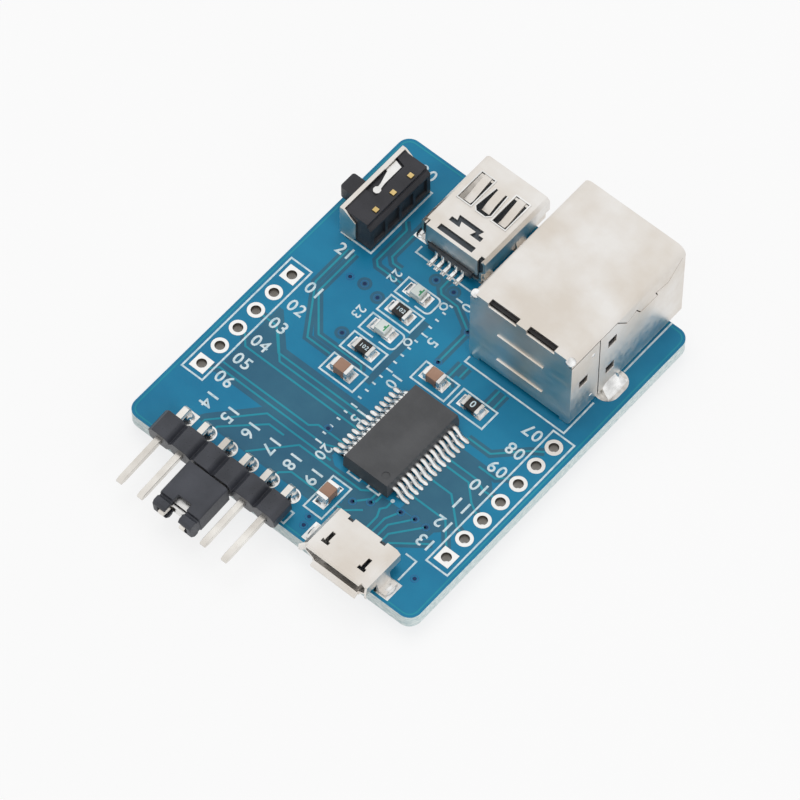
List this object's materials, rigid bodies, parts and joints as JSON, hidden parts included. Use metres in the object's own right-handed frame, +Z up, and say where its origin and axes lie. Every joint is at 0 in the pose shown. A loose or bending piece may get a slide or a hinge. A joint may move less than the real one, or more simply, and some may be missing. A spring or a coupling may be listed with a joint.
{
  "type": "usb to serial adapter module",
  "caption": "Circuit board adapter with square, mini and micro USB sockets, slide switch, right-angle pin header with jumper cap, serial chip and plated hole rows.",
  "frame": {"origin": "centre of the part's footprint at the tips of the solder tails it stands on", "axes": "+X along the board's short side, from the switch and the left row of holes to the right row; +Y along the long side, towards the USB-B and mini-USB mouths; +Z up from the board's component side"},
  "size_m": [0.0344, 0.048, 0.0137],
  "materials": {
    "board": "satin solder mask",
    "plating": "tinned copper",
    "tin": "bright tin",
    "solder": "bright solder",
    "connector_steel": "nickel plated",
    "contact_gold": "gold flash",
    "black_plastic": "fine matte",
    "grey_plastic": "matte",
    "chip_plastic": "matte moulding",
    "resistor_black": "glazed",
    "capacitor_ceramic": "fired ceramic",
    "led_base": "laminate",
    "led_lens": "clear resin"
  },
  "bodies": {
    "module": {"circuit_board": "board", "left_row_plated_holes": "plating", "right_row_plated_holes": "plating", "surface_pads": "tin", "usb_b_shell": "connector_steel", "usb_b_insulator": "black_plastic", "usb_b_contact_1": "contact_gold", "usb_b_contact_2": "contact_gold", "usb_b_contact_3": "contact_gold", "usb_b_contact_4": "contact_gold", "usb_b_solder": "solder", "mini_usb_shell": "connector_steel", "mini_usb_insulator": "black_plastic", "mini_usb_contacts": "contact_gold", "micro_usb_shell": "connector_steel", "micro_usb_insulator": "black_plastic", "micro_usb_contacts": "contact_gold", "switch_housing": "grey_plastic", "switch_cover": "connector_steel", "switch_detent_spring": "tin", "switch_terminal_1": "contact_gold", "switch_terminal_2": "contact_gold", "switch_terminal_3": "contact_gold", "switch_solder": "solder", "header_strip": "grey_plastic", "header_pin_1": "contact_gold", "header_pin_2": "contact_gold", "header_pin_3": "contact_gold", "header_pin_4": "contact_gold", "header_pin_5": "contact_gold", "header_pin_6": "contact_gold", "header_solder": "solder", "chip_body": "chip_plastic", "chip_leads": "tin", "resistor_1_body": "resistor_black", "resistor_1_ends": "tin", "resistor_2_body": "resistor_black", "resistor_2_ends": "tin", "resistor_3_body": "resistor_black", "resistor_3_ends": "tin", "capacitor_1_body": "capacitor_ceramic", "capacitor_1_ends": "tin", "capacitor_2_body": "capacitor_ceramic", "capacitor_2_ends": "tin", "capacitor_3_body": "capacitor_ceramic", "capacitor_3_ends": "tin", "led_1_base": "led_base", "led_1_ends": "contact_gold", "led_1_lens": "led_lens", "led_2_base": "led_base", "led_2_ends": "contact_gold", "led_2_lens": "led_lens"},
    "slider": {"switch_slider": "grey_plastic", "switch_wiper": "contact_gold"},
    "jumper": {"jumper_housing": "grey_plastic", "jumper_contact": "contact_gold"}
  },
  "joints": [
    {"name": "switch_slide", "type": "slide", "parent": "module", "child": "slider", "axis": [0, 1, 0], "range_m": [0, 0.0022]},
    {"name": "jumper_pull", "type": "slide", "parent": "module", "child": "jumper", "axis": [0, -0.9945, -0.1045], "range_m": [0, 0.0065]}
  ]
}
